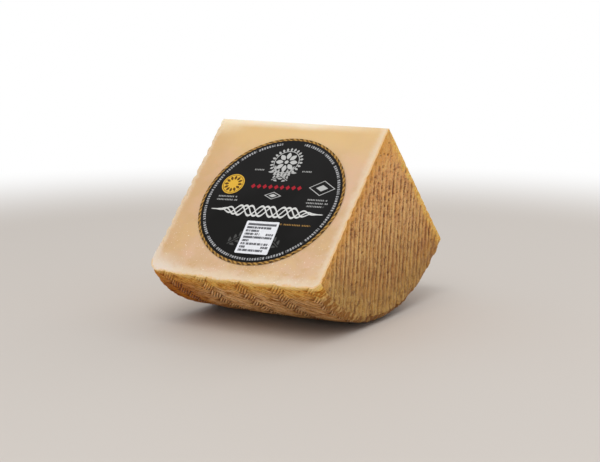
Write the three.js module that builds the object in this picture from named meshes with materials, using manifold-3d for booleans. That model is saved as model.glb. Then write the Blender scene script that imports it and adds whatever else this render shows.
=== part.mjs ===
// A quarter of an aged sheep's-milk cheese wheel, resting on its curved side with the sharp edge up.
//
// Millimetres, +Z up. X runs along the wheel's axis, so the two flat faces of the wheel look
// to -X and +X. The two cut faces look up to the front (-Y) and up to the back (+Y). The origin
// is the middle of the small flat on which the quarter rests.

import * as THREE from 'three';
import { mergeVertices } from 'three/addons/utils/BufferGeometryUtils.js';
import Module from 'manifold-3d';

// The wheel and the quarter cut from it.
const AXIS_HEIGHT = 101.1;
const REST_FLAT_DEPTH = 0.4;
const WHEEL_RADIUS = AXIS_HEIGHT + REST_FLAT_DEPTH;
const BARREL_ROUNDNESS = 0.0005;
const FULLEST_X = -4.8;
const QUARTER = Math.PI / 2;

// The flat faces, by their distance from the middle at the wheel's axis and at its rim.
const LEFT_AT_AXIS = 49.8;
const LEFT_AT_RIM = 51.0;
const RIGHT_AT_AXIS = 51.2;
const RIGHT_AT_RIM = 49.6;

// The rounded rims between the side and the flat faces. The left one is a sharper lip away
// from the cuts, where it is pulled in.
const RIM_ROUNDING_RIGHT = 4.5;
const RIM_ROUNDING_LEFT_AT_CUT = 7;
const RIM_ROUNDING_LEFT_MIDDLE = 2;
const RIM_PULL_ANGLE = THREE.MathUtils.degToRad(12);

// The print of the plaited grass band round the side. Each narrow strand comes up over one wide
// strand and goes under the next ones, so the short floats stand in leaning columns, and the wide
// strands run on from column to column. The weave leans from the band's own direction, and one
// float's middle lies at FLOAT_X across the side and FLOAT_ARC round it.
const NARROW_STRAND = 5.3;
const WIDE_STRAND = 7.1;
const STRANDS_IN_REPEAT = 5;
const NARROW_FLOAT = 1.5;
const WIDE_FLOAT = STRANDS_IN_REPEAT - 1;
const WEAVE_ANGLE = THREE.MathUtils.degToRad(35);
const FLOAT_X = 24.8;
const FLOAT_ARC = -65.9;
const PLAIT_DEPTH = 1.2;
const PLAIT_SINK = 0.75;
const REST_FADE_START = 12;
const REST_FADE_END = 30;

// The parallel grooves of both flat faces, printed by the draining boards. They run down from
// the sharp edge and lean a little to the front. The offset is counted at the sharp edge.
const GROOVE_PITCH = 4.38;
const GROOVE_DEPTH = 1.0;
const GROOVE_OFFSET = 0.99;
const GROOVE_LEAN = 0.083;
const GROOVE_UNEVENNESS = 0.14;
const POINTS_PER_GROOVE = 4;

// The round paper label on the front cut face, and the small sticker on it.
const PAPER_GAP = 0.3;
const PAPER_THICKNESS = 0.3;
const LABEL_RADIUS = 40.4;
const LABEL_FROM_EDGE = 51;
const LABEL_X = 2.5;
const LABEL_TURN = THREE.MathUtils.degToRad(2.1);
const STICKER_WIDTH = 18.9;
const STICKER_HEIGHT = 19.9;
const STICKER_CORNER = 0.7;
const STICKER_RIGHT = 1.4;
const STICKER_DOWN = 23.8;

// How finely the curved side is stepped, and how the whole wheel's ends stand past the flat
// faces that are cut from it.
const SIDE_STEPS = 40;
const TURN_STEPS = 256;
const END_PAST_FACE = 3;
const END_INSET = 12;

const wasm = await Module();
wasm.setup();

function material(color, roughness) {
  return new THREE.MeshStandardMaterial({ color, roughness, metalness: 0 });
}

// A closed three.js geometry as a solid that can be cut.
function solidFrom(geometry) {
  const bare = geometry.index ? geometry.toNonIndexed() : geometry.clone();
  bare.deleteAttribute('normal');
  bare.deleteAttribute('uv');
  const merged = mergeVertices(bare, 1e-4);
  return new wasm.Manifold(new wasm.Mesh({
    numProp: 3,
    vertProperties: new Float32Array(merged.attributes.position.array),
    triVerts: new Uint32Array(merged.index.array),
  }));
}

function geometryFrom(solid) {
  const mesh = solid.getMesh();
  const geometry = new THREE.BufferGeometry();
  geometry.setAttribute('position', new THREE.BufferAttribute(mesh.vertProperties, 3));
  geometry.setIndex(new THREE.BufferAttribute(mesh.triVerts, 1));
  geometry.computeVertexNormals();
  return geometry;
}

function moveVertices(geometry, move) {
  const position = geometry.attributes.position;
  const point = new THREE.Vector3();
  for (let i = 0; i < position.count; i++) {
    move(point.fromBufferAttribute(position, i));
    position.setXYZ(i, point.x, point.y, point.z);
  }
  return geometry;
}

function wrap(value, period) {
  return value - period * Math.floor(value / period);
}

// One family of strands: each stands up in a flat arch, float strands of the other family long,
// and is hidden for the rest of the repeat. Its neighbours do the same one step further on.
function strandHeight(across, along, float) {
  const phase = wrap(along + Math.floor(across), STRANDS_IN_REPEAT);
  const arch = Math.max(Math.sin(Math.PI * Math.min(phase / float, 1)), 0);
  const roundness = Math.sin(Math.PI * wrap(across, 1));
  return Math.pow(arch, 0.4) * Math.pow(roundness, 0.35);
}

// Height of the plait's print in the gaps and on the strands, as a share of its depth, at a
// place x across the side and arc round it.
function plaitHeight(x, arc) {
  const c = Math.cos(WEAVE_ANGLE);
  const s = Math.sin(WEAVE_ANGLE);
  const fromX = x - FLOAT_X;
  const fromArc = arc - FLOAT_ARC;
  const acrossNarrow = (fromX * c + fromArc * s) / NARROW_STRAND + 0.5;
  const acrossWide = (fromX * s - fromArc * c) / WIDE_STRAND + 0.5;
  const narrow = strandHeight(acrossNarrow, acrossWide + (NARROW_FLOAT - 1) / 2, NARROW_FLOAT);
  const wide = strandHeight(acrossWide, acrossNarrow - 1, WIDE_FLOAT);
  return Math.max(narrow, wide) - PLAIT_SINK;
}

// Radius lost to the rounding of a rim, at a distance from the flat face. The round ends just
// short of the face.
function rimLoss(fromFace, rounding) {
  const into = THREE.MathUtils.clamp(1 - fromFace / rounding, 0, 0.98);
  return rounding * (1 - Math.sqrt(1 - into * into));
}

// Distance from the wheel's axis to its side. The angle is 0 straight down.
function sideRadius(x, angle) {
  const barrel = WHEEL_RADIUS - BARREL_ROUNDNESS * (x - FULLEST_X) ** 2;
  const fromCut = QUARTER / 2 - Math.abs(angle);
  const free = THREE.MathUtils.smoothstep(fromCut, 0, RIM_PULL_ANGLE);
  const leftRounding = THREE.MathUtils.lerp(RIM_ROUNDING_LEFT_AT_CUT, RIM_ROUNDING_LEFT_MIDDLE, free);
  const leftLoss = rimLoss(LEFT_AT_RIM + x, leftRounding);
  const rightLoss = rimLoss(RIGHT_AT_RIM - x, RIM_ROUNDING_RIGHT);
  const arc = angle * WHEEL_RADIUS;
  const fromRest = Math.hypot(arc, (x - FULLEST_X) / 2);
  const relief = THREE.MathUtils.smoothstep(fromRest, REST_FADE_START, REST_FADE_END);
  return barrel - leftLoss - rightLoss + PLAIT_DEPTH * relief * plaitHeight(x, arc);
}

// The whole wheel, its side shaped by sideRadius. Its ends stand past the flat faces.
function wheel() {
  const end = LEFT_AT_RIM + END_PAST_FACE;
  const left = -LEFT_AT_RIM - 0.5;
  const right = RIGHT_AT_RIM + 0.5;
  const profile = [new THREE.Vector2(0, -end), new THREE.Vector2(1, -end)];
  for (let i = 0; i <= SIDE_STEPS; i++) {
    profile.push(new THREE.Vector2(1, THREE.MathUtils.lerp(left, right, i / SIDE_STEPS)));
  }
  profile.push(new THREE.Vector2(1, end), new THREE.Vector2(0, end));
  const geometry = new THREE.LatheGeometry(profile, TURN_STEPS);
  // The lathe turns about Y: its axis becomes X, and its angle is counted from straight down.
  return moveVertices(geometry, (point) => {
    const x = point.y;
    if (Math.hypot(point.x, point.z) < 0.5) {
      point.set(x, 0, AXIS_HEIGHT);
      return;
    }
    const angle = Math.atan2(-point.z, point.x);
    const radius = sideRadius(x, angle) - (Math.abs(x) > end - 1 ? END_INSET : 0);
    point.set(x, radius * Math.sin(angle), AXIS_HEIGHT - radius * Math.cos(angle));
  });
}

// The quarter's section across the axis: both cuts meet at a right angle on the axis, and the
// base is the flat on which the quarter rests.
function quarterPrism() {
  const section = new THREE.Shape([
    new THREE.Vector2(0, AXIS_HEIGHT),
    new THREE.Vector2(-AXIS_HEIGHT, 0),
    new THREE.Vector2(AXIS_HEIGHT, 0),
  ]);
  const depth = 2 * LEFT_AT_RIM + 20;
  const geometry = new THREE.ExtrudeGeometry(section, { depth, bevelEnabled: false });
  return moveVertices(geometry, (point) => point.set(point.z - depth / 2, point.x, point.y));
}

// How far a ridged flat face stands out at a place y across it. The ridges differ a little.
function ridgeHeight(y) {
  const turns = (y - GROOVE_OFFSET) / GROOVE_PITCH;
  const shallower = GROOVE_UNEVENNESS * (1 + Math.sin(2.3 * Math.round(turns)));
  return -GROOVE_DEPTH * (0.5 + (0.5 - shallower) * Math.cos(2 * Math.PI * turns));
}

// A slab between the two ridged flat faces, each leaning a little towards the rim. The ridges
// lean along the faces.
function ridgedSlab() {
  const grooves = Math.ceil(AXIS_HEIGHT / GROOVE_PITCH);
  const steps = 2 * grooves * POINTS_PER_GROOVE;
  const reach = grooves * GROOVE_PITCH;
  const places = Array.from({ length: steps + 1 }, (_, i) => {
    return THREE.MathUtils.lerp(-reach, reach, i / steps) + GROOVE_OFFSET;
  });
  const right = places.map((y) => new THREE.Vector2(RIGHT_AT_AXIS + ridgeHeight(y), y));
  const left = places.map((y) => new THREE.Vector2(-LEFT_AT_AXIS - ridgeHeight(y), y)).reverse();
  const low = -5;
  const high = AXIS_HEIGHT + 5;
  const geometry = new THREE.ExtrudeGeometry(new THREE.Shape([...right, ...left]), {
    depth: high - low,
    bevelEnabled: false,
  });
  return moveVertices(geometry, (point) => {
    point.z += low;
    const down = AXIS_HEIGHT - point.z;
    const lean = point.x > 0 ? RIGHT_AT_RIM - RIGHT_AT_AXIS : LEFT_AT_AXIS - LEFT_AT_RIM;
    point.x += lean * down / AXIS_HEIGHT;
    point.y -= GROOVE_LEAN * down;
  });
}

function cheeseWedge() {
  const ridged = solidFrom(wheel()).intersect(solidFrom(ridgedSlab()));
  const solid = ridged.intersect(solidFrom(quarterPrism()));
  const mesh = new THREE.Mesh(geometryFrom(solid), material(0xd9a766, 0.55));
  mesh.name = 'cheese_wedge';
  return mesh;
}

function roundLabel() {
  const disc = new THREE.CylinderGeometry(LABEL_RADIUS, LABEL_RADIUS, PAPER_THICKNESS, 120);
  disc.rotateX(Math.PI / 2);
  const mesh = new THREE.Mesh(disc, material(0x262626, 0.42));
  mesh.name = 'round_label';
  mesh.position.z = PAPER_GAP + PAPER_THICKNESS / 2;
  return mesh;
}

function whiteSticker() {
  const x = STICKER_WIDTH / 2 - STICKER_CORNER;
  const y = STICKER_HEIGHT / 2 - STICKER_CORNER;
  const outline = new THREE.Shape();
  outline.absarc(x, y, STICKER_CORNER, 0, QUARTER);
  outline.absarc(-x, y, STICKER_CORNER, QUARTER, 2 * QUARTER);
  outline.absarc(-x, -y, STICKER_CORNER, 2 * QUARTER, 3 * QUARTER);
  outline.absarc(x, -y, STICKER_CORNER, 3 * QUARTER, 4 * QUARTER);
  const sheet = new THREE.ExtrudeGeometry(outline, {
    depth: PAPER_THICKNESS,
    bevelEnabled: false,
    curveSegments: 6,
  });
  const mesh = new THREE.Mesh(sheet, material(0xdcdde2, 0.5));
  mesh.name = 'white_sticker';
  mesh.position.set(STICKER_RIGHT, -STICKER_DOWN, 2 * PAPER_GAP + PAPER_THICKNESS);
  return mesh;
}

// The papers lie on the front cut face: the group's Z looks out of that face, and its Y runs
// up the face to the sharp edge.
function papers() {
  const group = new THREE.Group();
  const along = LABEL_FROM_EDGE * Math.SQRT1_2;
  group.position.set(LABEL_X, -along, AXIS_HEIGHT - along);
  group.rotation.set(QUARTER / 2, 0, 0);
  const turned = new THREE.Group();
  turned.rotation.z = LABEL_TURN;
  turned.add(roundLabel(), whiteSticker());
  group.add(turned);
  return group;
}

const cheese = new THREE.Group();
cheese.add(cheeseWedge(), papers());

export default cheese;
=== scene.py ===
# %% [markdown]
# # A quarter of an aged sheep cheese
#
# The cheese is one quarter of a wheel, standing on its curved side with the sharp edge up. Its
# curved side carries the print of a plaited grass band, its flat faces carry the parallel
# grooves of the draining boards, and its two cut faces are smooth, waxy paste. A round paper
# label with a small sticker lies on the front cut.
#
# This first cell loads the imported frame. The frame gives the true sizes, so the lesson can
# spend all its effort on shape and finish.

import math

import bmesh
import bpy
import numpy as np
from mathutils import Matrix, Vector
from mathutils.geometry import delaunay_2d_cdt


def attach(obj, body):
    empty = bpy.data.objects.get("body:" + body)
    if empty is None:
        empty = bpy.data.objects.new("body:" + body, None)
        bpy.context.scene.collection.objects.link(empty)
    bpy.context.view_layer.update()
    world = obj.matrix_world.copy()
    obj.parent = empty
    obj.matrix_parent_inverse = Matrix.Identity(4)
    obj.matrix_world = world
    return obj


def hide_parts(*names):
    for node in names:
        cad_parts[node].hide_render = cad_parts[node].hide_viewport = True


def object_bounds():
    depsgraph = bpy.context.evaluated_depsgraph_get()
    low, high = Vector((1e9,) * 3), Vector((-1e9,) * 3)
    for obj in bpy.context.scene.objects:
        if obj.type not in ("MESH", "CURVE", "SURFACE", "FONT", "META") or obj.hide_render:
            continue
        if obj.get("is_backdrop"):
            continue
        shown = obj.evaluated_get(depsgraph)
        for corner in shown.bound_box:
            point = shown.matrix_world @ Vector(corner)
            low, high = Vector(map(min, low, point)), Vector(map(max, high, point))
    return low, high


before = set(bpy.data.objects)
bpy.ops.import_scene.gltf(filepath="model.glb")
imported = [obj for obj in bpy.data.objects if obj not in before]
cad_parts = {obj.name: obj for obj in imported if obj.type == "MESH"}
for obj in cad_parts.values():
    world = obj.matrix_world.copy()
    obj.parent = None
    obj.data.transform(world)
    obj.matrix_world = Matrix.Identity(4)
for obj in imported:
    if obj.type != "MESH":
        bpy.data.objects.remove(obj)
cad_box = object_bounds()
print("The frame's nodes:", ", ".join(sorted(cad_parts)))

# %% [markdown]
# ## The sizes of the cheese
#
# All the sizes below are in millimetres, because a cheese is easier to think about that way.
# They are the sizes of the real wheel: its radius, the height of its axis over the table, and
# the places of its two flat faces at the axis and at the rim.

# %% Sizes in millimetres
MM = 0.001
AXIS_HEIGHT = 101.1
WHEEL_RADIUS = 101.5
HALF_TURN = math.pi / 4  # from straight down to each cut
SLOPE = math.sqrt(0.5)  # millimetres across, and down, for each millimetre along a cut
LEFT_RIM, RIGHT_RIM = -51.0, 49.6
LEFT_AXIS, RIGHT_AXIS = -49.8, 51.2
FULLEST_X = -4.8
ARC = WHEEL_RADIUS * HALF_TURN

NARROW_STRAND, WIDE_STRAND = 5.3, 7.1  # widths of the two families of plaited strands
NARROW_STEMS, WIDE_STEMS = 4, 5  # grass stems side by side in a strand
REPEAT = 5  # strands in one repeat of the weave
NARROW_FLOAT, WIDE_FLOAT = 1.5, 4  # how many strands each family passes over
WEAVE_LEAN = math.radians(35)
LEAN_COS, LEAN_SIN = math.cos(WEAVE_LEAN), math.sin(WEAVE_LEAN)
FLOAT_PLACE = (24.8, -65.9)  # across and round the side: the middle of one narrow float
FACE_SHARE = 0.95  # a finished flat face is this much smaller than the blank's
GROOVE_PITCH = 4.38 / FACE_SHARE  # on the blank
GROOVE_OFFSET = 0.99 / FACE_SHARE  # of one groove's bottom at the sharp edge
GROOVE_LEAN = 0.083  # how far a groove leans to the front for each millimetre down

LABEL_RADIUS = 40.4
LABEL_X, LABEL_FROM_EDGE = 2.5, 51.0
LABEL_TURN = math.radians(2.1)
STICKER_SIZE = (18.9, 19.9)
STICKER_PLACE = (1.4, -23.8)  # right and up from the label's middle
print(f"The wheel is {2 * WHEEL_RADIUS:.0f} mm across; the quarter's arc is {2 * ARC:.0f} mm long")

# %% [markdown]
# ## Node sums that read like arithmetic
#
# A pattern such as a weave is a formula. Node trees can work out formulas, but wiring dozens of
# Math nodes by hand is slow and hard to read. A small class that wraps a socket and overloads
# the arithmetic signs lets a formula be written as a formula: each sign adds one Math node.
# The same class serves for Geometry Nodes and for shader nodes, so one formula can carve the
# mesh and also colour it, and the two always agree.

# %% A socket that can be added and multiplied


class Value:
    """One socket of a node tree. Arithmetic on it adds the nodes that work it out."""

    def __init__(self, tree, socket=None):
        self.tree, self.socket = tree, socket

    def node(self, kind, settings=None, sockets=None, out=0):
        """Adds any node: its settings come first, then values or links for its sockets."""
        made = self.tree.nodes.new(kind)
        for name, value in (settings or {}).items():
            setattr(made, name, value)
        for place, value in (sockets or {}).items():
            if isinstance(value, Value):
                self.tree.links.new(value.socket, made.inputs[place])
            else:
                made.inputs[place].default_value = value
        return Value(self.tree, made.outputs[out])

    def math(self, operation, *values):
        return self.node("ShaderNodeMath", {"operation": operation}, dict(enumerate(values)))

    def __add__(self, other):
        return self.math("ADD", self, other)

    def __sub__(self, other):
        return self.math("SUBTRACT", self, other)

    def __rsub__(self, other):
        return self.math("SUBTRACT", other, self)

    def __mul__(self, other):
        return self.math("MULTIPLY", self, other)

    def __truediv__(self, other):
        return self.math("DIVIDE", self, other)

    def __pow__(self, other):
        return self.math("POWER", self, other)

    def __mod__(self, other):
        return self.math("FLOORED_MODULO", self, other)

    def __neg__(self):
        return self.math("MULTIPLY", self, -1)

    def __abs__(self):
        return self.math("ABSOLUTE", self)

    def __gt__(self, other):
        return self.math("GREATER_THAN", self, other)

    def __lt__(self, other):
        return self.math("LESS_THAN", self, other)

    __radd__, __rmul__ = __add__, __mul__


print("A value can be added, multiplied and compared")

# %% [markdown]
# What a formula asks for besides the arithmetic signs gets a short name of its own: a sine, the
# larger of two values, a soft step from 0 to 1, and cloudy noise.

# %% Short names for the other sums


def sine(value):
    return value.math("SINE", value)


def cosine(value):
    return value.math("COSINE", value)


def whole(value):
    return value.math("FLOOR", value)


def nearest(value):
    return value.math("ROUND", value)


def larger(a, b):
    return a.math("MAXIMUM", a, b)


def smaller(a, b):
    return a.math("MINIMUM", a, b)


def length(a, b):
    return (a * a + b * b) ** 0.5


def turn_of(across, down):
    return across.math("ARCTAN2", across, down)


def ease(value, low, high):
    """0 below low and 1 above high, with a smooth rise between them, or the other way round."""
    sockets = {0: value, 1: low, 2: high, 3: 0.0, 4: 1.0}
    return value.node("ShaderNodeMapRange", {"interpolation_type": "SMOOTHSTEP"}, sockets)


def vector(x, y, z):
    any_value = next(v for v in (x, y, z) if isinstance(v, Value))
    return any_value.node("ShaderNodeCombineXYZ", None, {0: x, 1: y, 2: z})


def parts_of(place):
    split = place.node("ShaderNodeSeparateXYZ", None, {0: place})
    return [Value(place.tree, socket) for socket in split.socket.node.outputs]


def scaled(place, factor):
    return place.node("ShaderNodeVectorMath", {"operation": "SCALE"}, {0: place, 3: factor})


def noise(place, size, detail=2.0, roughness=0.5):
    """Cloudy variation round 0.5, with features about size millimetres across."""
    sockets = {"Vector": place, "Scale": 1 / size, "Detail": detail, "Roughness": roughness}
    return place.node("ShaderNodeTexNoise", None, sockets)


print("The node helpers are ready")

# %% [markdown]
# Every print and every finish is worked out from a point's place on the perfect, uncarved
# quarter. One small class reads off what the formulas ask for: how far the point is below the
# sharp edge, how far from the wheel's axis, how far round the side, and how far from each rim.

# %% A place on the uncarved quarter


class Spot:
    """A place on the uncarved quarter, in millimetres, and what is read off it."""

    def __init__(self, place):
        self.place = place
        self.x, self.y, self.z = parts_of(place)
        self.down = AXIS_HEIGHT - self.z
        self.reach, self.turn = length(self.y, self.down), turn_of(self.y, self.down)
        self.arc = self.turn * WHEEL_RADIUS
        self.to_left, self.to_right = self.x - LEFT_RIM, RIGHT_RIM - self.x
        self.to_side = WHEEL_RADIUS - self.reach
        self.to_cut = (self.down - abs(self.y)) * SLOPE


print("A spot knows how far it is from the rims, the side and the cuts")

# %% [markdown]
# ## The print of the plaited band
#
# The young cheese is pressed in a band of plaited grass, which leaves its weave on the curved
# side. Narrow strands of four stems come up in short floats that stand in leaning columns, and
# wide strands run on from column to column between them. Modelling every stem by hand would
# take thousands of strokes. A weave follows a rule, so two formulas are enough: one says how
# high a strand stands along its float, the other picks whichever of the two crossing strands
# is on top. The formulas work on millimetres across and round the side.

# %% The weave as a formula
ARCH_POWER, STRAND_POWER, STEM_POWER = 0.4, 0.3, 0.8  # the smaller, the fuller the rounding
OTHER_FAMILY = 500  # keeps the wide strands' noise clear of the narrow ones'
STRIP_START, STRIP_END, STRIP_WAVER = 1.5, 5.5, 8  # of the knobbly strip, from the right face


def strand(across, along, floats, stems):
    """A strand's height from 0 to 1, the roundness of its stems, and the stem's number."""
    phase = (along + whole(across)) % REPEAT
    arch = larger(sine(smaller(phase / floats, 1.0) * math.pi), 0.0) ** ARCH_POWER
    roundness = sine((across % 1) * math.pi) ** STRAND_POWER
    stem = abs(sine(across * (math.pi * stems))) ** STEM_POWER
    return arch * roundness, stem, whole(across * stems)


def plait(at):
    """The print's height, its stems' roundness and number, and the place across and along."""
    from_x, from_arc = at.x - FLOAT_PLACE[0], at.arc - FLOAT_PLACE[1]
    narrow = (from_x * LEAN_COS + from_arc * LEAN_SIN) / NARROW_STRAND + 0.5
    wide = (from_x * LEAN_SIN - from_arc * LEAN_COS) / WIDE_STRAND + 0.5
    middle = (NARROW_FLOAT - 1) / 2
    high_narrow, stem_narrow, number_narrow = strand(
        narrow, wide + middle, NARROW_FLOAT, NARROW_STEMS
    )
    high_wide, stem_wide, number_wide = strand(wide, narrow - 1, WIDE_FLOAT, WIDE_STEMS)
    narrow_on_top = high_narrow > high_wide

    def top(of_narrow, of_wide):
        return of_narrow * narrow_on_top + of_wide * (1 - narrow_on_top)

    number = top(number_narrow, number_wide + OTHER_FAMILY)
    across = top(narrow * NARROW_STRAND, wide * WIDE_STRAND + OTHER_FAMILY)
    along = top(wide * WIDE_STRAND, narrow * NARROW_STRAND)
    stem = top(stem_narrow, stem_wide)
    return larger(high_narrow, high_wide), stem, number, across, along


def plait_share(at, lumps):
    """1 where the plait shows, and 0 in the knobbly strip beside the right flat face."""
    return ease(at.to_right + (lumps - 0.5) * STRIP_WAVER, STRIP_START, STRIP_END)


print(f"A stem is {NARROW_STRAND / NARROW_STEMS:.2f} or {WIDE_STRAND / WIDE_STEMS:.2f} mm wide")

# %% [markdown]
# ## The grooves of the flat faces
#
# The draining boards leave parallel grooves on both flat faces of the wheel. They lean a little
# to the front on their way down. They are not ruled lines: they wander, some are deeper, and
# the mould that lived in them leaves short dark pits along their bottoms, mostly in the upper
# half. One formula gives the place among the grooves, another the ridge's height, and a third
# the pits.

# %% The grooves and their pits as formulas
GROOVE_WANDER = 1.5
RIDGE_POWER = 0.8  # the smaller, the fuller the ridges
DEPTH_SPREAD = 0.14  # up to twice this share is missing at a groove's top and its bottom
UPPER_HALF = (68.0, 36.0)  # millimetres down over which the pits become common
PLAIN_TOP = (8.0, 16.0)  # millimetres down over which the pits begin


def groove_count(at):
    """The place across the grooves, counted in grooves. Whole numbers are the bottoms."""
    wander = noise(vector(at.x * 0.3, at.y * 0.06, at.z * 0.05), 1.0, 2.0) - 0.5
    straight = at.y + at.down * GROOVE_LEAN
    return (straight - GROOVE_OFFSET + wander * GROOVE_WANDER) / GROOVE_PITCH


def ridge_height(count):
    """0 at the top of a ridge and -1 at the bottom of the deepest groove."""
    shallower = DEPTH_SPREAD * (1 + sine(nearest(count) * 2.3))
    round_top = abs(sine(count * math.pi)) ** RIDGE_POWER
    return -(shallower + (1 - 2 * shallower) * (1 - round_top))


def groove_pits(at, count):
    """1 in the short dark pits along the grooves' bottoms."""
    lane = nearest(count)
    near = ease(abs(count - lane), 0.36, 0.1)
    spots = noise(vector(lane * 3.7, at.z * 0.34, at.x * 0.5), 1.0, 2.0, 0.6)
    common = ease(at.down, *UPPER_HALF) * ease(at.down, *PLAIN_TOP)
    return near * ease(spots + common * 0.14, 0.63, 0.71)


print(f"There are about {2 * WHEEL_RADIUS * SLOPE / GROOVE_PITCH:.0f} grooves across a flat face")

# %% [markdown]
# ## A blank to carve
#
# The formulas need a mesh that is fine where the prints are and coarse where the knife left the
# paste smooth. A ready-made cube or cylinder has its points in the wrong places. So the blank,
# a perfect quarter of a wheel, is made from five flat patches, each filled with points where
# its own pattern needs them: on the side a lattice that leans with the weave and has three
# steps to a stem, on the flat faces columns that run with the grooves, and on the cuts only a
# sparse scatter. A Delaunay triangulation joins the points of each patch.

# %% Fill a patch with triangles
STEM_STEPS = 3
SIDE_ACROSS, SIDE_ROUND = 200, 300  # steps along the side's own edges
EDGE_STEPS = 66  # steps along the sharp edge
BOARD_COLUMNS = 7  # points across one groove
COLUMN_REACH = 200  # columns to either side of the first, more than a flat face needs
CORNER_GAP = 0.4  # a column that meets a cut closer than this to its end adds no point
SAME_POINT = 1e-5  # millimetres within which the triangulation takes two points as one


def fill_patch(outline, inner):
    """Triangles over a flat outline. Gives the points and the triangles."""
    points = [Vector(p) for p in outline] + [Vector(p) for p in inner]
    count = len(outline)
    ring = [(i, (i + 1) % count) for i in range(count)]
    found = delaunay_2d_cdt(points, ring, [], 1, SAME_POINT)
    return np.array([tuple(p) for p in found[0]]), found[2]


def loop_of(*sides):
    """Joins sides that follow each other into one outline, each without its last point."""
    return [tuple(p) for side in sides for p in list(side)[:-1]]


def down_a_cut(along, toward):
    """Y and z at a distance along a cut. Toward is -1 for the front cut and 1 for the back."""
    return toward * along * SLOPE, AXIS_HEIGHT - along * SLOPE


def round_the_side(turn):
    """Y and z on the curved side, at a turn from straight down."""
    return WHEEL_RADIUS * np.sin(turn), AXIS_HEIGHT - WHEEL_RADIUS * np.cos(turn)


def with_ends(depths):
    """Keeps the depths between the sharp edge and the rim, and adds those two."""
    kept = depths[(depths > CORNER_GAP) & (depths < WHEEL_RADIUS - CORNER_GAP)]
    return np.r_[0, kept, WHEEL_RADIUS]


side_arcs = np.linspace(-ARC, ARC, SIDE_ROUND + 1)
side_places = np.linspace(LEFT_RIM, RIGHT_RIM, SIDE_ACROSS + 1)
column_numbers = np.arange(-COLUMN_REACH, COLUMN_REACH)
columns = GROOVE_OFFSET + column_numbers * GROOVE_PITCH / BOARD_COLUMNS
front_depths = with_ends(-columns[::-1] / SLOPE / (1 - GROOVE_LEAN))
back_depths = with_ends(columns / SLOPE / (1 + GROOVE_LEAN))
print(f"{len(columns)} columns, {len(front_depths)} points down the front edge")

# %% [markdown]
# The side's patch is the curved side rolled out flat. Its lattice leans with the weave, so
# that every groove between two stems runs exactly along a row of points.

# %% The patch of the curved side
SIDE_GAP = 0.28  # no inner point is closer than this to the patch's outline
LATTICE_REACH = 400  # steps each way, more than the patch needs


def side_patch():
    narrow_step = NARROW_STRAND / NARROW_STEMS / STEM_STEPS
    wide_step = WIDE_STRAND / WIDE_STEMS / STEM_STEPS
    steps = np.arange(-LATTICE_REACH, LATTICE_REACH)
    narrow_start = STEM_STEPS * NARROW_STEMS / 2 % 1
    wide_start = STEM_STEPS * WIDE_STEMS / 2 % 1
    a, b = np.meshgrid((steps + narrow_start) * narrow_step, (steps + wide_start) * wide_step)
    x = (FLOAT_PLACE[0] + a * LEAN_COS + b * LEAN_SIN).ravel()
    arc = (FLOAT_PLACE[1] + a * LEAN_SIN - b * LEAN_COS).ravel()
    inside = (x > LEFT_RIM + SIDE_GAP) & (x < RIGHT_RIM - SIDE_GAP) & (abs(arc) < ARC - SIDE_GAP)
    outline = loop_of(
        [(p, -ARC) for p in side_places],
        [(RIGHT_RIM, p) for p in side_arcs],
        [(p, ARC) for p in side_places[::-1]],
        [(LEFT_RIM, p) for p in side_arcs[::-1]],
    )
    points, faces = fill_patch(outline, np.c_[x, arc][inside])
    y, z = round_the_side(points[:, 1] / WHEEL_RADIUS)
    return np.c_[points[:, 0], y, z], faces, points


side_points, side_faces, side_flat = side_patch()
print(f"The side has {len(side_faces)} triangles")

# %% [markdown]
# A flat face is a quarter disc. Its points stand in columns along the grooves.

# %% The patches of the two flat faces
ROW_STEP = 1.8
RIM_GAP, CUT_GAP = 1.3, 0.6  # how far the inner points keep from the rim and from the cuts


def board_patch(x):
    outline = loop_of(
        [down_a_cut(s, -1) for s in front_depths],
        [round_the_side(arc / WHEEL_RADIUS) for arc in side_arcs],
        [down_a_cut(s, 1) for s in back_depths[::-1]],
    )
    y, z = np.meshgrid(columns, np.arange(-2, AXIS_HEIGHT, ROW_STEP))
    z = z + ROW_STEP / 2 * (np.arange(len(columns)) % 2)
    down = AXIS_HEIGHT - z.ravel()
    y, z = y.ravel() - down * GROOVE_LEAN, z.ravel()
    inside = (np.hypot(y, down) < WHEEL_RADIUS - RIM_GAP) & (down - abs(y) > CUT_GAP)
    points, faces = fill_patch(outline, np.c_[y, z][inside])
    return np.c_[np.full(len(points), x), points], faces, points


left_points, left_faces, left_flat = board_patch(LEFT_RIM)
right_points, right_faces, right_flat = board_patch(RIGHT_RIM)
print(f"Each flat face has {len(left_faces)} triangles")

# %% [markdown]
# A cut face is a plain rectangle of smooth paste. Points are close together only next to its
# edges, where it has to meet the finely stepped rind.

# %% The patches of the two cut faces
CUT_RINGS = [(1.3, 1.6, 3.0), (2.6, 3.0, 6.6), (5.0, 6.6, 99.0)]  # spacing, nearest, farthest
CUT_SEEDS = {-1: 7, 1: 11}  # for the front cut and the back one
JITTER = 0.25  # how far a point may stray, as a share of the spacing


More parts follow.
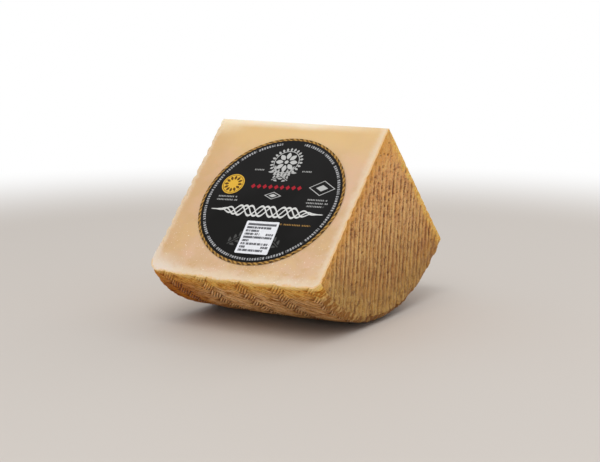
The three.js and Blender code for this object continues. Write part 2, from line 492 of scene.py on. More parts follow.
def cut_patch(depths, toward):
    outline = loop_of(
        np.linspace((LEFT_RIM, 0), (RIGHT_RIM, 0), EDGE_STEPS + 1),
        [(RIGHT_RIM, s) for s in depths],
        [(p, WHEEL_RADIUS) for p in side_places[::-1]],
        [(LEFT_RIM, s) for s in depths[::-1]],
    )
    scatter = np.random.default_rng(CUT_SEEDS[toward])
    inner = []
    for spacing, nearest_edge, farthest_edge in CUT_RINGS:
        x, s = np.meshgrid(
            np.arange(LEFT_RIM, RIGHT_RIM, spacing), np.arange(0, WHEEL_RADIUS, spacing)
        )
        x = x.ravel() + scatter.uniform(-JITTER, JITTER, x.size) * spacing
        s = s.ravel() + scatter.uniform(-JITTER, JITTER, s.size) * spacing
        edge = np.minimum.reduce([x - LEFT_RIM, RIGHT_RIM - x, s, WHEEL_RADIUS - s])
        keep = (edge > nearest_edge) & (edge <= farthest_edge)
        inner.append(np.c_[x, s][keep])
    points, faces = fill_patch(outline, np.concatenate(inner))
    y, z = down_a_cut(points[:, 1], toward)
    return np.c_[points[:, 0], y, z], faces, points


front_points, front_faces, front_flat = cut_patch(front_depths, -1)
back_points, back_faces, back_flat = cut_patch(back_depths, 1)
print(f"The cut faces have {len(front_faces)} and {len(back_faces)} triangles")

# %% [markdown]
# The five patches become one closed skin: points that lie on each other along the shared edges
# are merged, and the faces are turned outwards. Each face remembers which kind of patch it came
# from. The flat patches, laid side by side on one sheet, also make a tidy UV map.

# %% Join the patches into the blank
CUT, SIDE, BOARD = 0, 1, 2  # the kinds of patch
SHEET = 312.0  # side of the sheet on which the patches are laid out, in millimetres
MERGE_WITHIN = 0.03  # millimetres
PATCHES = [
    (side_points, side_faces, side_flat, SIDE, (52, 81)),
    (left_points, left_faces, left_flat, BOARD, (178, 3)),
    (right_points, right_faces, right_flat, BOARD, (178, 107)),
    (front_points, front_faces, front_flat, CUT, (52, 164)),
    (back_points, back_faces, back_flat, CUT, (156, 209)),
]


def join_patches(name):
    skin = bmesh.new()
    layer = skin.loops.layers.uv.new("OFBake")
    zone = skin.faces.layers.int.new("zone")
    for number, (points, faces, flat, kind, corner_place) in enumerate(PATCHES):
        made = [skin.verts.new(Vector(p) * MM) for p in points]
        for face in faces:
            f = skin.faces.new([made[i] for i in face])
            f[zone] = kind
            f.material_index = number
            for loop, i in zip(f.loops, face):
                loop[layer].uv = (np.array(corner_place) + flat[i]) / SHEET
    bmesh.ops.remove_doubles(skin, verts=skin.verts, dist=MERGE_WITHIN * MM)
    bmesh.ops.recalc_face_normals(skin, faces=skin.faces)
    for edge in skin.edges:
        kinds = {f.material_index for f in edge.link_faces}
        edge.smooth = not (len(kinds) > 1 and min(f[zone] for f in edge.link_faces) == CUT)
    for face in skin.faces:
        face.smooth = True
        face.material_index = 0
    open_edges = sum(not edge.is_manifold for edge in skin.edges)
    mesh = bpy.data.meshes.new(name)
    skin.to_mesh(mesh)
    skin.free()
    print(f"{name}: {len(mesh.polygons)} triangles, {open_edges} open edges")
    return mesh


blank = bpy.data.objects.new("cheese_blank", join_patches("cheese_blank"))
bpy.context.scene.collection.objects.link(blank)

# %% [markdown]
# ## The finishes
#
# Colours are easiest to compare with a real cheese as the familiar 0 to 255 numbers, but the
# renderer works in linear light. The helper below converts them once, in Python.
#
# No single colour looks like cheese, so each finish is painted as a cook would describe it: a
# ground colour, and over it one thin layer after another, each with a mask that says where it
# lies. A colour of four numbers is laid over what is there; one of three numbers multiplies
# it, as a stain or a shade does.
#
# Every finish reads the attribute `blank_place`: where the point lay on the uncarved quarter,
# in millimetres. The formulas carve from the same place, so colour and relief agree exactly.

# %% Colour helpers


def tone(red, green, blue):
    """An ordinary 0 to 255 colour as linear light."""

    def linear(value):
        value /= 255
        return value / 12.92 if value <= 0.04045 else ((value + 0.055) / 1.055) ** 2.4

    return (linear(red), linear(green), linear(blue), 1.0)


def mix(mask, low, high, blend="MIX"):
    """The colour low where the mask is 0 and high where it is 1, or low times high."""
    start = next(v for v in (mask, low, high) if isinstance(v, Value))
    settings = {"data_type": "RGBA", "blend_type": blend, "clamp_factor": True}
    return start.node("ShaderNodeMix", settings, {0: mask, 6: low, 7: high}, out=2)


def layered(color, layers):
    """Lays layers on a colour, in order. Each is a mask, a strength, and a tone or a stain."""
    for mask, strength, laid in layers:
        is_stain = isinstance(laid, tuple) and len(laid) == 3
        if is_stain:
            color = mix(mask * strength, color, (*laid, 1.0), "MULTIPLY")
        else:
            color = mix(mask * strength, color, laid)
    return color


def new_finish(name, **constants):
    """A material with a Principled shader. The constants go on the shader's own sockets."""
    material = bpy.data.materials.new(name)
    material.use_nodes = True
    tree = material.node_tree
    shader = tree.nodes["Principled BSDF"]
    for socket, value in constants.items():
        shader.inputs[socket.replace("_", " ").title().replace("Ior", "IOR")].default_value = value
    return material, Value(tree), shader


def feed(shader, color, roughness, height, depth):
    """Links a finish's results to its shader. The height is in units of depth millimetres."""
    sockets = {"Strength": 1.0, "Distance": depth * MM, "Height": height}
    bump = height.node("ShaderNodeBump", None, sockets)
    links = shader.id_data.links
    for result, place in ((color, "Base Color"), (roughness, "Roughness"), (bump, "Normal")):
        links.new(result.socket, shader.inputs[place])


def blank_spot(finish):
    """The point's place on the uncarved quarter, as the carving stored it."""
    settings = {"attribute_name": "blank_place"}
    return Spot(finish.node("ShaderNodeAttribute", settings, None, out=1))


print("The colour helpers are ready")

# %% [markdown]
# ## The paste
#
# Aged sheep's paste is ivory to straw yellow, a little pink where the light goes deep, and
# drier towards the rind. Beside the rind it is almost white, and the very edge, where the thin
# rind shines through, is golden. A single colour would look like plastic, so broad soft clouds,
# fine mottling, the pale band and tiny white crystals are layered. A little subsurface
# scattering gives the waxy depth; it is a constant on the shader.

# %% Finish of the paste


def make_paste():
    material, start, shader = new_finish(
        "waxy_cheese_paste",
        subsurface_weight=0.22,
        subsurface_scale=0.003,
        subsurface_radius=(1.0, 0.55, 0.3),
        specular_ior_level=0.35,
    )
    at = blank_spot(start)
    cloud = noise(at.place, 26.0, 2.0)
    mottle = noise(at.place, 5.0, 4.0, 0.65)
    grain = noise(at.place, 1.1, 3.0, 0.6)
    hue = noise(scaled(at.place, -1.0), 15.0, 3.0, 0.6)
    waver = (mottle - 0.5) * 5.0 + (grain - 0.5) * 2.0

    toward_edge = ease(at.reach + at.x * 0.15 + (cloud - 0.5) * 30, 38.0, 6.0)
    toward_left = ease(at.x + (mottle - 0.5) * 14, -30.0, -48.0)
    low_mottle = ease(mottle, 0.52, 0.68) * ease(at.reach, 60.0, 92.0)
    band = larger(ease(at.to_side + waver, 8.0, 1.5), ease(at.to_right + waver, 6.0, 0.5))
    band = larger(band, ease(at.to_left + waver, 4.0, 0.4) * 0.8)
    low_corner = ease(length(at.to_side, at.to_left * 0.6) + waver, 16.0, 5.0)
    to_rind = smaller(at.to_side + (mottle - 0.5) * 4, at.to_right) + (grain - 0.5) * 2
    sharp_edge_highlight = ease(at.reach + (hue - 0.5) * 2, 5.5, 0.0) * ease(at.x, 60.0, 0.0)
    to_top_corner = length(at.reach * 0.6, at.to_left * 0.35)
    flecks = ease(grain, 0.68, 0.76) * ease(mottle, 0.5, 0.6)
    crystals = ease(noise(at.place, 0.7, 0.0), 0.76, 0.8) * ease(at.reach, 55.0, 90.0)
    left_edge_shade_specks = ease(at.to_left + (mottle - 0.5) * 3, 2.0, 0.4) * ease(grain, 0.56, 0.66)

    ground = mix(ease(cloud, 0.38, 0.62), tone(219, 184, 149), tone(211, 174, 131))
    color = layered(ground, [
        (ease(hue, 0.5, 0.64), 0.6, tone(222, 182, 152)),  # pinkish clouds
        (ease(hue, 0.48, 0.36), 0.5, tone(222, 186, 134)),  # straw-yellow clouds
        (toward_edge, 0.9, tone(226, 190, 132)),
        (toward_left, 0.6, tone(210, 170, 120)),
        (low_mottle, 0.5, tone(206, 166, 112)),
        (band, 0.72, tone(234, 216, 190)),
        (low_corner, 0.6, tone(232, 220, 208)),
        (ease(to_rind, 1.7, 0.3), 0.65, tone(228, 178, 100)),
        # painted highlight: the sharp edge, brightest on the left, is painted almost white
        (sharp_edge_highlight, 0.85, tone(250, 240, 220)),
        # painted highlight: the top left corner beside the sharp edge is painted pale as well
        (ease(to_top_corner + (mottle - 0.5) * 4, 9.0, 2.0), 0.6, tone(246, 226, 188)),
        (flecks, 0.35, tone(196, 150, 104)),
        (crystals, 0.7, tone(250, 240, 222)),
        # painted shade: grey-brown specks along the left edge, where the left face's ridges shade it
        (left_edge_shade_specks, 0.45, tone(150, 122, 96)),
    ])
    rough = 0.42 + (grain - 0.5) * 0.2 + band * 0.1
    feed(shader, color, rough, mottle * 0.6 + grain * 0.4, 0.12)
    return material


paste = make_paste()
print("Finish:", paste.name)

# %% [markdown]
# ## The plaited rind
#
# The side's rind is golden beside the cuts, and there it is also brightened as a painted glow of
# light coming through the thin rind. Underneath, and most on the right, it is darkened as painted
# shade, and its left end is a darker orange, partly painted shade. The tops of the stems are pale
# and a little pink, partly rubbed and partly painted highlights, while the gaps between strands
# and stems are darkened brown as painted shade. The weave formula gives both, so the paint follows
# the carving stem by stem. A ragged pale golden line along each cut is a painted glow of light
# through the rind's thin edge.

# %% Finish of the plaited rind


def make_plaited_rind():
    material, start, shader = new_finish(
        "plaited_rind", subsurface_weight=0.08, subsurface_scale=0.002, specular_ior_level=0.15
    )
    at = blank_spot(start)
    height, stem, number, across, along = plait(at)
    cloud = noise(at.place, 22.0, 3.0)
    patches = noise(at.place, 6.0, 4.0, 0.6)
    lumps = noise(at.place, 3.0, 3.0, 0.6)
    grain = noise(at.place, 0.9, 3.0, 0.6)
    fibre = noise(vector(number * 4.3, along * 0.2, 0.0), 1.0, 2.0)
    scratch = noise(vector(across * 1.3, along * 0.16, 4.0), 1.0, 3.0, 0.6)

    crest = ease(stem, 0.72, 0.95) * ease(scratch, 0.42, 0.6)
    between = ease(stem + (scratch - 0.5) * 0.9, 0.85, 0.3) * ease(height, 0.05, 0.3)
    gaps = ease(height + (patches - 0.5) * 0.6, 0.5, 0.1)
    knobbly = 1 - plait_share(at, patches)
    knobs = mix(ease(lumps, 0.48, 0.62), tone(172, 116, 50), tone(232, 194, 124))
    from_cut = ARC - abs(at.arc)
    near_cut = ease(from_cut + (patches - 0.5) * 18 + (cloud - 0.5) * 8, 15.0, 3.0)
    golden = mix(ease(lumps, 0.44, 0.58), tone(178, 104, 18), tone(255, 212, 112))
    painted_edge_glow = ease(from_cut + (patches - 0.5) * 5 + (grain - 0.5) * 2, 3.4, 0.8)
    under = ease(abs(at.arc) + (cloud - 0.5) * 14, 46.0, 12.0)
    right = ease(at.x, 0.0, 34.0)
    left = ease(at.x + (patches - 0.5) * 12, -16.0, -40.0)

    ground = mix(ease(fibre, 0.32, 0.68), tone(174, 112, 48), tone(240, 184, 110))
    color = layered(ground, [
        (ease(patches, 0.45, 0.7), 0.45, tone(192, 126, 62)),  # browner patches
        # painted highlight on the stems' tops, which are partly rubbed pale as well
        (crest, 0.9, tone(254, 216, 170)),
        # painted shade: the grooves between the stems are darkened brown
        (between, 0.92 - ease(patches, 0.45, 0.65) * 0.35, tone(98, 52, 16)),
        (ease(lumps, 0.53, 0.64), 0.35, tone(150, 90, 36)),  # dark mottling
        (ease(lumps, 0.46, 0.36), 0.35, tone(254, 210, 142)),  # pale mottling
        # painted shade: the gaps between the strands are darkened brown
        (gaps, 0.65, tone(104, 56, 20)),
        (knobbly, 0.85, knobs),
        # golden beside the cuts, and with a tint above 1 a painted glow of light through the thin
        # rind
        (near_cut, 0.85, (1.25, 1.08, 0.42)),
        (near_cut, 0.5, golden),
        # painted glow: a pale golden line along each cut, where light comes through the rind's edge
        (painted_edge_glow, 0.85, tone(255, 218, 138)),
        # painted shade underneath, stronger on the right; partly also a browner rind
        (under, 0.5 + 0.5 * right, (0.62, 0.54, 0.44)),
        # painted shade on the lower right of the side
        (right * ease(abs(at.arc), 76.0, 62.0), 0.6, (0.7, 0.66, 0.6)),
        # the left end is darker orange, partly its own colour and partly painted shade
        (left, 1 - 0.55 * near_cut, (0.64, 0.37, 0.05)),
        (ease(grain, 0.62, 0.74), 0.3, tone(96, 56, 26)),  # dark grains
    ])
    rough = 0.5 + gaps * 0.2 + (grain - 0.5) * 0.25
    bump = stem * 0.5 * ease(height, 0.05, 0.4) + grain * 0.35 + fibre * 0.3
    feed(shader, color, rough, bump, 0.35)
    return material


plaited_rind = make_plaited_rind()
print("Finish:", plaited_rind.name)

# %% [markdown]
# ## The grooved rind
#
# The flat faces have tan ridges with painted highlights on their crests, grooves darkened as
# painted shade, and short reddish-brown pits in them. At the top they were rubbed nearly plain,
# and in places the grooves are scuffed away. Close to the cuts the thin rind lets light through
# and glows golden. Near the rim it is knobbly, with pale knobs lit by painted highlights and
# painted shade in the hollows between them. Lower down and towards the back corner the faces are
# darkened as painted shade. The groove formula places all of it.

# %% Finish of the grooved rind


def golden_margins(at, color, patches, grain):
    """The golden glow beside the two cuts, ragged, and stronger beside the back one."""
    front = ease(at.to_cut + (patches - 0.5) * 14 + (grain - 0.5) * 4, 9.0, 1.0)
    front = front * ease(at.y, 4.0, -4.0)
    back = ease(at.to_cut + (patches - 0.5) * 16 + (grain - 0.5) * 6, 6.0, 1.0)
    back = larger(back, ease(at.to_cut, 2.0, 0.6)) * ease(at.y, -4.0, 4.0)
    speckled = ease(grain, 0.4, 0.6)
    return layered(color, [
        (front, 0.62, mix(speckled, tone(210, 134, 34), tone(242, 178, 74))),
        (back, 0.5 + 0.35 * (at.x > 0), mix(speckled, tone(232, 156, 40), tone(255, 222, 120))),
    ])


def make_grooved_rind():
    material, start, shader = new_finish(
        "grooved_rind", subsurface_weight=0.08, subsurface_scale=0.002, specular_ior_level=0.35
    )
    at = blank_spot(start)
    x, y, z = at.x, at.y, at.z
    count = groove_count(at)
    ridge, pits = ridge_height(count), groove_pits(at, count)
    cloud = noise(at.place, 24.0, 3.0)
    patches = noise(at.place, 5.0, 4.0, 0.65)
    grain = noise(at.place, 1.1, 3.0, 0.6)
    streak = noise(vector(x, y * 1.2, z * 0.12), 1.0, 3.0, 0.6)
    mottle = noise(vector(x, y, z * 0.6), 2.2, 4.0, 0.7)
    scuff = noise(vector(x, y * 0.5 - z * 0.3, z * 0.5 + y * 0.3), 3.4, 3.0, 0.6)

    top_glow = ease(at.reach + (cloud - 0.5) * 16, 60.0, 18.0)
    rim = ease(at.reach + (patches - 0.5) * 14, 86.0, 96.0)
    near_top = ease(at.down + (cloud - 0.5) * 30, 62.0, 24.0)
    bare_top = ease(at.down + (patches - 0.5) * 12, 22.0, 10.0)
    below_top = 1 - bare_top
    broken = ease(scuff, 0.44, 0.6)
    clear = larger(1 - 0.3 * rim - 0.5 * near_top - 0.5 * broken - bare_top, 0.0)
    grooves = ease(ridge + (streak - 0.5) * 1.1, -0.3, -0.85) * clear
    crests = ease(ridge + (streak - 0.5) * 0.7, -0.3, -0.06) * (0.72 - 0.47 * near_top)
    blotches = ease(mottle, 0.52, 0.64) * (0.3 + near_top * 0.4) * (1 - 0.7 * bare_top)
    wrinkles = ease(abs(scuff - 0.52), 0.035, 0.0) * ease(patches, 0.5, 0.6) * below_top
    knobs = ease(grain * 0.5 + mottle * 0.5, 0.5, 0.58) * rim
    shade = ease(z + (cloud - 0.5) * 20, 56.0, 14.0)
    back_corner_shade = ease(y, 30.0, 66.0)

    ground = mix(ease(streak, 0.35, 0.65), tone(200, 141, 76), tone(226, 168, 94))
    color = layered(ground, [
        (ease(cloud, 0.4, 0.65), 0.5, tone(202, 140, 70)),  # browner clouds
        (top_glow, 0.75, tone(236, 164, 66)),
        (rim, 0.6, tone(204, 156, 80)),
        (near_top * below_top, 0.4, tone(228, 166, 112)),
        # painted shade: the grooves are darkened brown
        (grooves, 0.95, tone(106, 62, 22)),
        # painted highlight on the ridges' crests
        (crests * below_top, 1 - 0.5 * rim, tone(246, 202, 132)),
        (ease(patches, 0.52, 0.64), 0.36, tone(136, 82, 34)),  # brown patches
        (ease(patches, 0.46, 0.36), 0.36, tone(244, 200, 124)),  # pale patches
        (blotches, 1.0, tone(158, 88, 38)),
        (ease(mottle, 0.47, 0.36), 0.4, tone(238, 192, 116)),  # pale mottling
        (wrinkles, 0.5, tone(122, 66, 26)),
        (pits, 0.5 + ease(cloud, 0.35, 0.65) * 0.35, tone(110, 52, 18)),
        (ease(grain, 0.56, 0.68), 0.5, tone(126, 70, 30)),  # dark grains
        (ease(grain, 0.44, 0.34), 0.35, tone(250, 214, 152)),  # pale grains
        # painted highlight on the knobs near the rim
        (knobs, 0.75, tone(240, 204, 132)),
        # painted shade in the hollows between the knobs
        (ease(mottle, 0.48, 0.38) * rim, 0.6, tone(128, 80, 32)),  # hollows between the knobs
        (shade, 0.9, (0.66, 0.6, 0.42)),
        # painted shade towards the back corner
        (back_corner_shade, 0.75, (0.92, 0.72, 0.44)),
    ])
    color = golden_margins(at, color, patches, grain)
    rough = 0.55 + grooves * 0.15 + (grain - 0.5) * 0.25
    bump = grain * 0.4 + patches * 0.5 + streak * 0.4 - pits * 0.6
    feed(shader, color, rough, bump, 0.35)
    return material


grooved_rind = make_grooved_rind()
print("Finish:", grooved_rind.name)

# %% [markdown]
# ## Carving the quarter
#
# Now the blank is carved. The whole shape follows a rule, so Geometry Nodes suit it: the tree
# reads where each point lies on the perfect quarter and works out where it lies on the real
# one. The side gets its barrel shape, rounded rims and the weave; the flat faces get their lean,
# ridges, pits and knobs; and the underside is pressed flat where the cheese rests. All sizes
# are named inputs of the tree, so the same tree could make another wheel.

# %% A tree's sizes, start and end
CARVING = {  # millimetres, apart from the shares
    "Plait depth": 1.2,
    "Plait sink": 0.75,
    "Stem share": 0.42,
    "Right rim rounding": 4.5,
    "Left rim rounding at cut": 7.0,
    "Left rim rounding": 2.0,
    "Barrel roundness": 0.0005,
    "Groove depth": 1.0,
    "Pit depth": 0.4,
    "Knob height": 0.85,
    "Wander": 2.2,
}


def start_tree(name, sizes):
    """A Geometry Nodes tree with a named input for each size."""
    tree = bpy.data.node_groups.new(name, "GeometryNodeTree")
    tree.interface.new_socket("Geometry", in_out="INPUT", socket_type="NodeSocketGeometry")
    for label, value in sizes.items():
        socket = tree.interface.new_socket(label, in_out="INPUT", socket_type="NodeSocketFloat")
        socket.default_value = value
    tree.interface.new_socket("Geometry", in_out="OUTPUT", socket_type="NodeSocketGeometry")
    given = tree.nodes.new("NodeGroupInput")
    inputs = {socket.name: Value(tree, socket) for socket in given.outputs if socket.name}
    return tree, inputs


def finish_tree(tree, geometry, first_finish, others):
    """Realizes the geometry, gives it one finish, and gives some zones of faces another."""
    geometry = geometry.node("GeometryNodeRealizeInstances", None, {0: geometry})
    geometry = geometry.node("GeometryNodeSetMaterial", None, {0: geometry, 2: first_finish})
    for zone, material in others:
        settings = {"data_type": "INT"}
        here = geometry.node("GeometryNodeInputNamedAttribute", settings, {"Name": "zone"})
        settings = {"data_type": "INT", "operation": "EQUAL"}
        chosen = here.node("FunctionNodeCompare", settings, {2: here, 3: zone})
        sockets = {"Geometry": geometry, "Selection": chosen, "Material": material}
        geometry = geometry.node("GeometryNodeSetMaterial", None, sockets)
    out = tree.nodes.new("NodeGroupOutput")
    tree.links.new(geometry.socket, out.inputs[0])


print(f"The carving takes {len(CARVING)} sizes")

# %% [markdown]
# The curved side is carved by moving its points towards the wheel's axis or away from it. The
# barrel and the rounded rims take radius away, and the plait stands out from what is left.

# %% Carving the side


def rim_loss(from_face, rounding):
    """Radius lost to a rounded rim at a distance from its flat face."""
    into = smaller(larger(1 - from_face / rounding, 0.0), 0.98)
    return rounding * (1 - (1 - into * into) ** 0.5)


def carved_reach(at, size, cloud, lumps, grain):
    """The side's distance from the axis: barrel, rims, weave and the knobbly strip."""
    height, stem, _, _, _ = plait(at)
    shown = plait_share(at, lumps)
    printed = (height * (1 - size["Stem share"] * (1 - stem)) - size["Plait sink"]) * shown
    knobbly = (lumps - 0.5) * 2 * (1 - shown)
    off_table = ease(length(at.arc, (at.x - FULLEST_X) * 0.5), 12.0, 30.0)
    relief = size["Plait depth"] * off_table * printed + knobbly + (grain - 0.5) * 0.35
    barrel = WHEEL_RADIUS - size["Barrel roundness"] * (at.x - FULLEST_X) ** 2
    off_cut = ease(HALF_TURN - abs(at.turn), 0.0, math.radians(12))
    left_rounding = (
        size["Left rim rounding at cut"] * (1 - off_cut) + size["Left rim rounding"] * off_cut
    )
    rims = rim_loss(at.to_left, left_rounding) + rim_loss(at.to_right, size["Right rim rounding"])
    at_side = ease(at.reach, WHEEL_RADIUS - 1.2, WHEEL_RADIUS)
    radius = barrel - rims + relief * at_side + (cloud - 0.5) * 0.8 * off_table
    return at.reach * radius / WHEEL_RADIUS


print("The side's formula is ready")

# %% [markdown]
# The flat faces are carved along the wheel's axis: ridges and pits by the groove formula, and
# knobs near the rim. The right face's ridges are worn down near its top and beside the cuts.

# %% Carving the flat faces


def face_relief(at, size, lumps, grain):
    """How far the flat faces stand out: ridges, pits, and knobs near the rim."""
    count = groove_count(at)
    on_right = at.x > 0
    calm = 1 - 0.5 * ease(noise(at.place, 14.0, 1.0), 0.55, 0.7)
    ridges = ridge_height(count) * size["Groove depth"] * calm
    ridges = ridges * (1 - 0.85 * ease(at.down, 50.0, 12.0) * on_right)
    ridges = ridges * (1 - 0.35 * ease(lumps, 0.5, 0.6)) * (1 - 0.25 * ease(at.reach, 86.0, 96.0))
    ridges = ridges * (1 - 0.65 * ease(at.to_cut, 6.0, 0.0) * on_right)
    pits = groove_pits(at, count) * size["Pit depth"]
    knobs = (lumps - 0.5) * 2 * size["Knob height"] * (0.35 + ease(at.reach, 84.0, 96.0))
    return ridges - pits + knobs + (grain - 0.5) * 0.25


def carved_x(at, size, lumps, grain):
    """The place along the axis: the faces' relief, and their lean out towards the top."""
    relief = face_relief(at, size, lumps, grain)
    lean_right = (RIGHT_AXIS - RIGHT_RIM) / AXIS_HEIGHT * at.z
    lean_left = (LEFT_AXIS - LEFT_RIM) / AXIS_HEIGHT * at.z
    x = at.x + relief * ease(at.to_right, 7.0, 0.0) - relief * ease(at.to_left, 7.0, 0.0)
    return x + lean_right * ease(at.to_right, 40.0, 0.0) + lean_left * ease(at.to_left, 40.0, 0.0)


print("The flat faces' formula is ready")

# %% [markdown]
# The strands are not ruled either: the whole print wanders a little, except at its edges. The
# knife left the cuts flat but for a faint waviness. Last, nothing may lie below the table.

# %% The carving tree
ON_A_CUT = 1e-4  # radians from a cut's plane


def carved_place(at, size):
    """Where a point of the blank lies on the finished quarter."""
    cloud = noise(at.place, 20.0, 2.0)
    lumps = noise(at.place, 6.0, 3.0, 0.6)
    grain = noise(at.place, 1.6, 2.0, 0.6)
    reach = carved_reach(at, size, cloud, lumps, grain)
    to_face = smaller(at.to_left, at.to_right)
    inner = smaller(ease(to_face, 0.0, 9.0), ease(ARC - abs(at.arc), 0.0, 9.0))
    sway = size["Wander"] * inner
    x = carved_x(at, size, lumps, grain) + (noise(at.place, 17.0, 1.0) - 0.5) * sway
    aside = vector(at.x + 70, at.y, at.z)
    turn = at.turn + (noise(aside, 17.0, 1.0) - 0.5) * sway / WHEEL_RADIUS

    on_cut = HALF_TURN - abs(at.turn) < ON_A_CUT
    off_edges = smaller(to_face, smaller(at.reach, at.to_side))
    wave = (noise(at.place, 15.0, 1.0) - 0.5) * 0.4 * ease(off_edges, 1.0, 6.0) * on_cut
    y = reach * sine(turn) + at.y.math("SIGN", at.y) * wave * SLOPE
    z = AXIS_HEIGHT - reach * cosine(turn) + wave * SLOPE
    return scaled(vector(x, y, larger(z, 0.0)), MM)


def make_carving_tree():
    tree, size = start_tree("carve_the_quarter", CARVING)
    start = Value(tree)
    at = Spot(scaled(start.node("GeometryNodeInputPosition"), 1 / MM))
    settings = {"data_type": "FLOAT_VECTOR", "domain": "POINT"}
    sockets = {"Geometry": size["Geometry"], "Name": "blank_place", "Value": at.place}
    kept = start.node("GeometryNodeStoreNamedAttribute", settings, sockets)
    sockets = {"Geometry": kept, "Position": carved_place(at, size)}
    carved = start.node("GeometryNodeSetPosition", None, sockets)
    finish_tree(tree, carved, plaited_rind, [(CUT, paste), (BOARD, grooved_rind)])
    return tree


carving = make_carving_tree()
print(f"The carving tree has {len(carving.nodes)} nodes")

# %% [markdown]
# The tree is put on the blank as a modifier. Its inputs are set by their identifiers before the
# blank is first evaluated. The evaluated result becomes a plain mesh, and the blank goes.

# %% Carve the quarter


def carve(source, tree, sizes, name):
    """Runs a tree on an object and gives its result as a plain object of its own."""
    modifier = source.modifiers.new(tree.name, "NODES")
    modifier.node_group = tree
    for item in tree.interface.items_tree:
        if item.item_type == "SOCKET" and item.in_out == "INPUT" and item.name in sizes:
            modifier[item.identifier] = sizes[item.name]
    depsgraph = bpy.context.evaluated_depsgraph_get()
    mesh = bpy.data.meshes.new_from_object(source.evaluated_get(depsgraph))
    source.modifiers.clear()
    made = bpy.data.objects.new(name, mesh)
    mesh.name = name
    bpy.context.scene.collection.objects.link(made)
    return made


quarter = carve(blank, carving, CARVING, "aged_cheese_quarter")
bpy.data.objects.remove(blank)
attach(quarter, "root")
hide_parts("cheese_wedge")
print(f"{quarter.name}: {len(quarter.data.polygons)} faces, finishes "
      + ", ".join(m.name for m in quarter.data.materials if m))

# %% [markdown]
# ## The round label
#
# The label is a disc of thin varnished paper. It lies on the front cut, so its points are
# worked out in the plane of that cut: how far to the right of the middle, how far up towards
# the sharp edge, and how high above the paste. Paper never lies quite flat on cheese, so the
# disc has low ripples. Its UV map is simply its own millimetres.

# %% A sheet of paper on the front cut
LABEL_THICKNESS, LABEL_LIFT = 0.25, 0.15
STICKER_THICKNESS, STICKER_LIFT = 0.16, 0.55
SHARP_FOLD = 0.9  # radians, past which a rim's edge is shaded sharp


def on_front_cut(right, up, off):
    """A point of the front cut: right and up from the label's middle, and off the paste."""
    cos_turn, sin_turn = math.cos(LABEL_TURN), math.sin(LABEL_TURN)
    x = LABEL_X + right * cos_turn - up * sin_turn
    y, z = down_a_cut(LABEL_FROM_EDGE - (right * sin_turn + up * cos_turn), -1)
    return Vector((x, y - off * SLOPE, z + off * SLOPE)) * MM


def ripple(right, up):
    """Low waves of the paper, in millimetres."""
    long_wave = 0.05 * math.sin(right * 0.31 + 1.3) * math.cos(up * 0.27)
    return long_wave + 0.04 * math.sin(0.13 * right - 0.19 * up)


def cover(skin, rows, turned):
    """Faces over rows of points that grow outwards from one middle point."""
    (middle,), first = rows[0], rows[1]
    shapes = [[middle, a, b] for a, b in zip(first, first[1:] + first[:1])]
    for inner, outer in zip(rows[1:], rows[2:]):
        corners = zip(inner, outer, outer[1:] + outer[:1], inner[1:] + inner[:1])
        shapes += [list(quad) for quad in corners]
    for shape in shapes:
        skin.faces.new(shape[::-1] if turned else shape)


def paper_sheet(name, rings, lift, thickness):
    """A closed thin sheet. Its UV map is its own millimetres, scaled to the label's size."""
    skin = bmesh.new()
    layer = skin.loops.layers.uv.new("OFBake")
    flat = {}

    def add(right, up, off):
        vert = skin.verts.new(on_front_cut(right, up, off + ripple(right, up)))
        flat[vert] = (right, up)
        return vert

    tops = [[add(r, u, lift(r, u) + thickness) for r, u in ring] for ring in rings]
    bottoms = [[add(r, u, lift(r, u)) for r, u in ring] for ring in rings]
    cover(skin, tops, False)
    cover(skin, bottoms, True)
    top, bottom = tops[-1], bottoms[-1]
    for wall in zip(top, bottom, bottom[1:] + bottom[:1], top[1:] + top[:1]):
        skin.faces.new(wall)
    bmesh.ops.recalc_face_normals(skin, faces=skin.faces)
    for face in skin.faces:
        face.smooth = True
        for loop in face.loops:
            loop[layer].uv = [0.5 + part / (2 * LABEL_RADIUS) for part in flat[loop.vert]]
    rim = {*top, *bottom}
    for edge in skin.edges:
        edge.smooth = not (set(edge.verts) <= rim and edge.calc_face_angle(0) > SHARP_FOLD)
    mesh = bpy.data.meshes.new(name)
    skin.to_mesh(mesh)
    skin.free()
    made = bpy.data.objects.new(name, mesh)
    bpy.context.scene.collection.objects.link(made)
    print(f"{name}: {len(mesh.polygons)} faces")
    return made


print("Paper can be laid on the front cut")

# %% [markdown]
# The label's rings are circles, closer together towards its edge.

# %% The label's disc
LABEL_SEGMENTS = 144
LABEL_RINGS = [0, 5, 10, 15, 20, 25, 30, 34, 37, 39, 40, LABEL_RADIUS]
LOOSE_FROM = 0.85  # the share of its radius past which the label's rim may stand off


def circle(radius, segments):
    if radius == 0:
        return [(0.0, 0.0)]
    turns = [2 * math.pi * i / segments for i in range(segments)]
    return [(radius * math.cos(t), radius * math.sin(t)) for t in turns]


def label_lift(right, up):
    """The rim of the paper stands off the paste by a hair in two places."""
    outer_part = max(math.hypot(right, up) / LABEL_RADIUS - LOOSE_FROM, 0) / (1 - LOOSE_FROM)
    loose = max(math.sin(2 * math.atan2(up, right) + 0.6), 0) ** 3
    return LABEL_LIFT + 0.3 * loose * outer_part**2


label_rings = [circle(radius, LABEL_SEGMENTS) for radius in LABEL_RINGS]
label = paper_sheet("round_paper_label", label_rings, label_lift, LABEL_THICKNESS)

# %% [markdown]
# The sticker's rings are rounded squares. Two of its corners curl up a little.

# %% The sticker's sheet
STICKER_CORNER = 0.7
STICKER_RINGS = [0.25, 0.5, 0.7, 0.85, 0.95, 1.0]  # round the middle point, as shares
CORNER_POINTS, SIDE_POINTS = 5, 12


